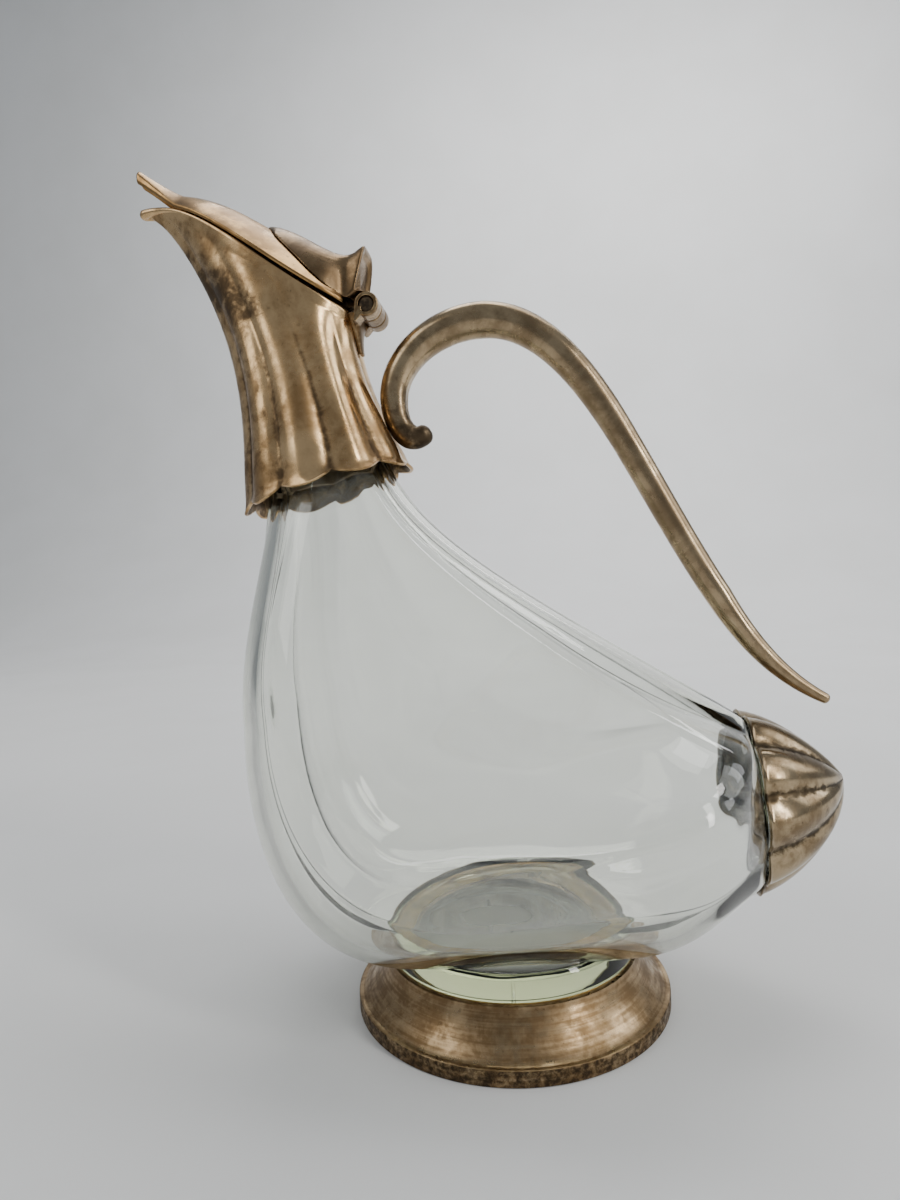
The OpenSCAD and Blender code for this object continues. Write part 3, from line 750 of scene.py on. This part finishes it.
def lid_ring(share, sides):
    """The leaf's arched cross-section with rounded edges, thicker towards the beak's knob."""
    knob = KNOB * in_beak(share) ** 3
    half = lid_half(share) - EDGE_OUT
    thick = LID_T + BEAK_T * in_beak(share) + knob
    low = lid_height(share, sides) - 0.5 * knob
    ring = [(k * half, z) for k, z in zip(sides, low)]
    ring += [(half + out, low[-1] + thick * rise) for out, rise in LID_EDGE]
    ring += [(k * half, z + thick) for k, z in zip(sides[::-1], low[::-1])]
    ring += [(-half - out, low[0] + thick * rise) for out, rise in LID_EDGE[::-1]]
    return np.array([(mouth_edge(share)[0], y, z) for y, z in ring])


def make_lid():
    sides = np.sin(np.linspace(-1, 1, 41) * math.pi / 2)
    shares = np.concatenate([np.linspace(0.022, 0.16, 24), np.linspace(0.18, LID_END, 50)])
    rings = [lid_ring(share, sides) for share in shares]
    tip = rings[0]
    centre = tip.mean(0)
    forward = centre - rings[1].mean(0)
    forward = forward / np.linalg.norm(forward)
    blunt = [centre + (tip - centre) * math.cos(a) + forward * TIP_REACH * math.sin(a)
             for a in np.radians([72, 50, 28])]
    return skin("lid_leaf_raised", blunt + rings, sharp=50)


dress(make_lid(), silver_lid, "lid", "lid_leaf", slot="silver_plate")

# The crest

CREST_T, CREST_GAP, CREST_SINK, CREST_EDGE = 1.0, 0.35, 0.15, 0.55
CREST_HALF, CREST_NOSE, CREST_LEAN, CREST_HOLLOW = 13.0, 0.8, 2.9, 2.0
CREST_FROM, CREST_WIDENS, CREST_ON_LID = 0.63, 0.22, 0.95
CREST_VOXEL = 0.2 if FINE else 0.4
HUG_R, HUG_LEAST, HUG_FADE = 4.3, 1.9, 0.02
CREST_SIDES = np.sin(np.linspace(-1, 1, 33) * math.pi / 2)
CREST_ROWS, EASE_REACH = 64, 4
CREST_FRONT = np.array([mix(LIP[0], MOUTH_END[0], CREST_FROM), lid_height(CREST_FROM, 0) + LID_T + CREST_T])
CREST_BACK = HINGE + [-0.6, 19.4]
CREST = [CREST_FRONT, CREST_BACK + [-15.7, 6.4], CREST_BACK - [8.7, 8.1], CREST_BACK]

# Rings that close the back: their size as a share of the last ring, and their shift along x
CREST_CLOSE = ((0.98, 0.3), (0.92, 0.35), (0.84, 0.0), (0.74, -1.1), (0.45, -1.8))


def crest_floor(x, share, half):
    """The crest's underside: it follows the lid, and behind it the barrel of the hinge."""
    on_lid = min(share, LID_END)
    low = lid_height(on_lid, CREST_SIDES * half / lid_half(on_lid)) + LID_T + CREST_GAP - CREST_SINK
    if share > LID_END:
        hug = HINGE[1] + math.sqrt(max(0.0, HUG_R ** 2 - (x - HINGE[0]) ** 2))
        fade = min(1.0, (share - LID_END) / HUG_FADE)
        low = mix(low, np.full(len(CREST_SIDES), max(hug, HINGE[1] + HUG_LEAST)), fade)
    return low


def crest_ring(t):
    top = bezier(CREST, t)
    share = (top[0] - LIP[0]) / (MOUTH_END[0] - LIP[0])
    widening = min(1, max(0, (share - CREST_FROM) / CREST_WIDENS)) ** 0.4
    half = min(mix(CREST_NOSE, CREST_HALF, widening), lid_half(min(share, LID_END)) * CREST_ON_LID)
    low = crest_floor(top[0], share, half)
    power = mix(1.8, 6, t * t)
    arch = mix(low[0] + CREST_EDGE, top[1], 1 - np.abs(CREST_SIDES) ** power)
    high = np.maximum(low + CREST_EDGE, arch)
    rise = np.clip((high - low) / (top[1] - low), 0, 1)
    lean = CREST_LEAN * t ** 5 * (1 - rise) ** 1.2
    under = np.stack([top[0] - lean, CREST_SIDES * half, low], 1)
    over = np.stack([top[0] - lean, CREST_SIDES * half, high], 1)
    return np.concatenate([under, over[::-1]])


def make_crest():
    """A saddle that grows out of the lid and ends in a wide upturned thumb rest, hollowed behind."""
    rings = np.array([crest_ring(t) for t in np.linspace(0, 1, CREST_ROWS)])
    padded = np.concatenate([rings[:1]] * EASE_REACH + [rings] + [rings[-1:]] * EASE_REACH)
    eased = np.mean([padded[k:k + CREST_ROWS] for k in range(2 * EASE_REACH + 1)], axis=0)
    rings[:, :, 1:] = eased[:, :, 1:]
    rings = list(rings)
    last = rings[-1]
    centre = last.mean(0) - [0, 0, CREST_HOLLOW]
    for size, shift in CREST_CLOSE:
        inward = centre + (last - centre) * size
        inward[:, 0] = last[:, 0] + shift
        rings.append(inward)
    return cast_from("lid_crest_saddle", [skin("crest_form", rings)], CREST_VOXEL, 14 if FINE else 4)


dress(make_crest(), silver_crest, "lid", "lid_crest", slot="silver_plate")

# The hinge

BARREL_CLEAR, RUN_CLEAR, SOLDER = 0.5, 0.1, 0.2
LEAF_X = HINGE[0] - KNUCKLE_R - BARREL_CLEAR
CREST_LOW = HINGE[1] + KNUCKLE_R + BARREL_CLEAR
BORE_R, PIN_R, PIN_END = 2.45, 2.4, 8.0
WEB_FROM, WEB_TO, WEB_ROWS, WEB_SIDES = 0.76, 0.992, 14, 9
WEB_TIP_HALF, WEB_TIP_T, WEB_GROWS = 1.5, 0.75, 2.4
WEB_HALF = BARREL - 0.3
CASTING_VOXEL = 0.14 if FINE else 0.25


def knuckle(y0, y1):
    """A tube on the hinge's axis with rounded outer edges."""
    outline = [(BORE_R, y0), (KNUCKLE_R, y0), (KNUCKLE_R, y1), (BORE_R, y1)]
    return turned("knuckle_form", rounded(outline, [0.15, 0.7, 0.7, 0.15]), HINGE_AROUND, axis=HINGE)


def web_ring(t):
    """A cross-section of the web that spreads over the neck's back below the knuckles."""
    grow = (t - 0.64) / 0.36
    x, z = bezier(NECK_BACK, t)
    z = min(z, HINGE[1] - HINGE_DROP - SOLDER)
    half = mix(WEB_TIP_HALF, WEB_HALF, grow ** 2.6)
    thick = WEB_TIP_T + WEB_GROWS * grow ** 2
    ys = np.linspace(-half, half, WEB_SIDES)
    inner = [(x - SOLDER - 0.3 * (y / BARREL) ** 2 * grow, y, z) for y in ys]
    outer = [(x + thick * (1 - 0.5 * abs(y / half) ** 3), y, z) for y in ys[::-1]]
    return np.array(inner + outer)


def make_hinge_casting():
    """Both neck knuckles, their legs and the flared web below, soldered to the neck as one."""
    inner = MIDDLE + SIDE_GAP
    leg = [[LEAF_X, HINGE[1]] + np.array(p)
           for p in ([0, -5.2], [1.0, -4.9], [2.8, -3.0], [2.6, -0.6], [0.6, -0.6])]
    sides = ((-BARREL, -inner), (inner, BARREL))
    solids = [knuckle(y0, y1) for y0, y1 in sides]
    solids += [extruded("leg_form", leg, y0, y1) for y0, y1 in sides]
    solids.append(skin("web_form", [web_ring(t) for t in np.linspace(WEB_FROM, WEB_TO, WEB_ROWS)]))
    return cast_from("hinge_casting", solids, CASTING_VOXEL, 5 if FINE else 2)


def make_lid_knuckle():
    """The lid's knuckle with the tab that reaches forward to the leaf."""
    reach = HINGE[0] - mouth_edge(LID_END)[0] - RUN_CLEAR
    top = CREST_LOW - HINGE[1] - RUN_CLEAR
    tab = [HINGE + p for p in ([-reach, 1], [-reach, top + 1], [1.2 - reach, top], [-0.5, top],
                               [-0.5, BORE_R + 0.1], [-BORE_R - 0.1, 1.2])]
    solids = [knuckle(-MIDDLE, MIDDLE), extruded("tab_form", tab, -MIDDLE, MIDDLE)]
    return cast_from("lid_knuckle_casting", solids, CASTING_VOXEL, 4 if FINE else 2)


def make_pin():
    outline = [(0.05, -PIN_END - 0.3), (1.3, -PIN_END - 0.2), (2.1, -PIN_END + 0.05),
               (PIN_R, -PIN_END + 0.45)]
    outline += [(r, -y) for r, y in outline[::-1]]
    return turned("hinge_pin_worn", outline, HINGE_AROUND, axis=HINGE)


dress(make_hinge_casting(), silver_hinge, "jug", "hinge_plate", "knuckle_left", "knuckle_right",
      slot="silver_plate")
dress(make_lid_knuckle(), silver_hinge, "lid", "lid_knuckle", slot="silver_plate")
dress(make_pin(), pin_metal, "jug", "hinge_pin", slot="pin_metal")

# The handle

HANDLE_D = 11.0
HANDLE_TOP, HANDLE_TIP = np.array([-2, 208.4]), np.array([95.4, 90])
CURL = bezier(NECK_BACK, 0.45) + [0.52 * HANDLE_D, 0]


def on_curl(u, v):
    return CURL + np.array([u, v]) * HANDLE_D


def on_way(u, v):
    return between(HANDLE_TOP, HANDLE_TIP, u, v)


HANDLE = [
    [on_curl(0.773, -1.036), on_curl(0.318, -1.29), on_curl(-0.009, -0.636), CURL],
    [CURL, on_curl(0, 1), [CURL[0] + (HANDLE_TOP[0] - CURL[0]) * 0.436, HANDLE_TOP[1]], HANDLE_TOP],
    [HANDLE_TOP, on_way(0.185, 0), on_way(0.318, 0.155), on_way(0.431, 0.328)],
    [on_way(0.431, 0.328), on_way(0.524, 0.47), on_way(0.606, 0.612), on_way(0.698, 0.734)],
    [on_way(0.698, 0.734), on_way(0.786, 0.863), on_way(0.878, 0.946), HANDLE_TIP]]

# Places along the handle, in segments of its curve, and the radius at each
HANDLE_AT = [0, 0.3, 1, 2, 3, 4, 4.5, 5]
HANDLE_R = np.array([0.6, 0.76, 0.86, 1, 0.77, 0.71, 0.52, 0.29]) * HANDLE_D / 2

HANDLE_AROUND = np.arange(40) * 9.0
HOLLOW, HOLLOW_AT, HOLLOW_REACH, HOLLOW_WIDE, HOLLOW_DARK = 0.34, 0.75, 0.95, 0.62, 1.9
# How far along the handle the painted shade over the curl reaches
CURL_SHADE_REACH = 2.2
END_ANGLES, END_REACH = (20, 40, 58, 74), 0.8


def handle_ring(s):
    """The handle's ring at place s, hollowed on the inside of the curl, and its crease values: darker in the
    hollow, with painted shade over the curl.
    """
    i = min(int(s), len(HANDLE) - 1)
    t = s - i
    p = bezier(HANDLE[i], t)
    q = np.asarray(HANDLE[i], float)
    d = (1 - t) ** 2 * (q[1] - q[0]) + 2 * (1 - t) * t * (q[2] - q[1]) + t * t * (q[3] - q[2])
    d = d / np.linalg.norm(d)
    across_x, across_z = -d[1], d[0]
    hollow = HOLLOW * max(0.0, 1 - abs(s - HOLLOW_AT) / HOLLOW_REACH)
    inner = np.clip(-cosd(HANDLE_AROUND), 0, 1) ** 2
    dip = hollow * inner * np.exp(-(sind(HANDLE_AROUND) / HOLLOW_WIDE) ** 2)
    r = float(np.interp(s, HANDLE_AT, HANDLE_R)) * (1 - dip)
    ring = np.stack([p[0] + across_x * r * cosd(HANDLE_AROUND), r * sind(HANDLE_AROUND),
                     p[1] + across_z * r * cosd(HANDLE_AROUND)], 1)
    # painted shade over the curl, fading out along the handle; also darker in the hollow
    return ring, np.maximum(hollow * HOLLOW_DARK * inner, max(0.0, 1 - s / CURL_SHADE_REACH) ** 0.5)


def end_rings(ring, before):
    """Rings that round off an end of the handle, from the end ring outwards."""
    centre = ring.mean(0)
    out = centre - before.mean(0)
    out = out / np.linalg.norm(out)
    r = np.linalg.norm(ring - centre, axis=1).mean()
    return [centre + (ring - centre) * math.cos(a) + out * r * math.sin(a) * END_REACH
            for a in np.radians(END_ANGLES)]


def make_handle():
    pairs = [handle_ring(s) for s in np.linspace(0, len(HANDLE), 220 if FINE else 110)]
    start = [(ring, pairs[0][1]) for ring in end_rings(pairs[0][0], pairs[1][0])]
    end = [(ring, pairs[-1][1]) for ring in end_rings(pairs[-1][0], pairs[-2][0])]
    return skin_pairs("handle_cast", start[::-1] + pairs + end, sharp=70)


dress(make_handle(), cast, "jug", "handle", slot="handle_metal")

# The tail cap

CAP_TOP = CAP + across(CAP_TILT) * CAP_R
CAP_BOTTOM = CAP - across(CAP_TILT) * CAP_R
CAP_POINT = CAP + along(CAP_TILT) * CAP_L + [0, CAP_L / 5]
CAP_UP = [CAP_TOP, CAP_TOP + [10.7, -1.3], CAP_POINT + [-6, 9.5], CAP_POINT + [0, 1.5]]
CAP_DOWN = [CAP_BOTTOM, CAP_BOTTOM + [11.5, 4], CAP_POINT + [-0.5, -15.5], CAP_POINT + [0.2, -1.5]]
CAP_WALL, CAP_OUT, CAP_CREASE_SOFT = 1.1, 0.1, 0.12
CAP_ROLL, CAP_ROLL_TO, CAP_INNER_TO = 0.4, 0.03, 0.84


def cap_ring(t, inset, depth):
    """The cap's ring at t, 0 at its open edge and 1 at its point."""
    low, high = bezier(CAP_DOWN, t), bezier(CAP_UP, t)
    half = np.linalg.norm(high - low) / 2
    return section(low, high, half, depth * half / CAP_R, soft=CAP_CREASE_SOFT, inset=inset)


def make_cap():
    outer = []
    for t in np.concatenate([[0, 0.008, 0.016, 0.024], np.linspace(0.04, 1, 44 if FINE else 26)]):
        roll = CAP_ROLL * max(0.0, 1 - t / CAP_ROLL_TO) ** 2
        outer.append(cap_ring(t, CAP_OUT - roll, CAP_FLUTE + 0.5))
    inner = [(cap_ring(t, CAP_WALL, CAP_FLUTE)[0], np.ones(AROUND)) for t in np.linspace(0, CAP_INNER_TO, 20)]
    roll = edge_roll(outer[0][0], inner[0][0], -in_space(along(CAP_TILT)), 0.3, 0.45, outer[0][1])
    return skin_pairs("tail_cap_raised", outer[::-1] + roll + inner, sharp=50)


dress(make_cap(), silver_cap, "jug", "tail_cap", slot="silver_plate")

# The cement rings of the CAD stay as they are and get their materials


def keep(node, material):
    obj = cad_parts[node]
    for slot in obj.material_slots:
        slot.material = material
    if not obj.material_slots:
        obj.data.materials.append(material)


keep("foot_cement", amber_cement)
keep("neck_cement", plaster)
keep("tail_cement", plaster)

# The studio, in metres

STAGE_HALF, STAGE_FRONT, STAGE_BACK, STAGE_TOP, STAGE_CURVE = 5.0, -1.6, 1.0, 4.0, 0.8


def make_stage():
    """A pale floor that curves up into a backdrop."""
    line = [(STAGE_FRONT, 0.0), (STAGE_BACK, 0.0)]
    line += [(STAGE_BACK + STAGE_CURVE * math.sin(a), STAGE_CURVE * (1 - math.cos(a)))
             for a in np.radians([15, 30, 45, 60, 75, 90])]
    line.append((STAGE_BACK + STAGE_CURVE, STAGE_TOP))
    verts = [(x, y, z) for y, z in line for x in (-STAGE_HALF, STAGE_HALF)]
    faces = [(2 * i, 2 * i + 1, 2 * i + 3, 2 * i + 2) for i in range(len(line) - 1)]
    mesh = bpy.data.meshes.new("studio_floor")
    mesh.from_pydata(verts, [], faces)
    mesh.shade_smooth()
    obj = new_object("studio_floor", mesh)
    net = Net("pale studio paper")
    shade = net.span(net.noise(scale=6, detail=3), 0.3, 0.7)
    paper = net.blend(shade, (0.74, 0.74, 0.73), (0.77, 0.77, 0.765))
    tooth = net.bump(net.noise(scale=900, detail=3), distance=0.00004, strength=0.2)
    obj.data.materials.append(net.shader(Base_Color=paper, Roughness=0.7, Normal=tooth))


make_stage()


def area(name, place, aim, size, power, colour=(1, 1, 1)):
    """A rectangular lamp that faces the point aim."""
    data = bpy.data.lights.new(name, "AREA")
    data.shape = "RECTANGLE"
    data.size, data.size_y = size
    data.energy = power
    data.color = colour
    lamp = new_object(name, data)
    lamp.location = place
    lamp.rotation_euler = (Vector(aim) - Vector(place)).to_track_quat("-Z", "Y").to_euler()


WARM, COOL = (1.0, 0.985, 0.96), (0.97, 0.985, 1.0)
area("window", (-0.9, -0.55, 1.0), (0, 0, 0.13), size=(0.7, 0.9), power=3.6, colour=WARM)
area("side_strip", (0.95, -0.6, 0.6), (0, 0, 0.13), size=(0.16, 0.9), power=7, colour=WARM)
area("side_fill", (1.2, 0.1, 0.8), (0, 0, 0.12), size=(0.5, 0.9), power=5, colour=COOL)
area("top", (0.1, 0.35, 1.3), (0, 0, 0.1), size=(1.0, 0.5), power=5)
area("wall_wash", (0.3, 0.9, 1.4), (0.2, 1.8, 0.5), size=(1.4, 0.5), power=18)

SKY, SKY_STRENGTH = (0.72, 0.77, 0.83, 1), 0.42
world = bpy.data.worlds.new("studio")
world.use_nodes = True
world.node_tree.nodes["Background"].inputs[0].default_value = SKY
world.node_tree.nodes["Background"].inputs[1].default_value = SKY_STRENGTH
bpy.context.scene.world = world

# The camera at the photo's angle, as solved from the photo

SENSOR, FOCAL_PIXELS, PHOTO_HIGH = 36, 775, 1200
EYE_AT = Vector((16.762, -239.788, 131.774)) * MM
EYE_RIGHT = Vector((0.99070, 0.12959, -0.04152))
EYE_UP = Vector((0.03647, 0.04111, 0.99849))
EYE_BACK = Vector((0.13110, -0.99072, 0.03600))

camera = bpy.data.cameras.new("photo")
camera.sensor_width = SENSOR
camera.lens = FOCAL_PIXELS * SENSOR / PHOTO_HIGH
camera.clip_start = 0.01
camera.clip_end = 30
eye = new_object("photo", camera)
facing = Matrix((EYE_RIGHT, EYE_UP, EYE_BACK)).transposed().to_4x4()
eye.matrix_world = Matrix.Translation(EYE_AT) @ facing
bpy.context.scene.camera = eye
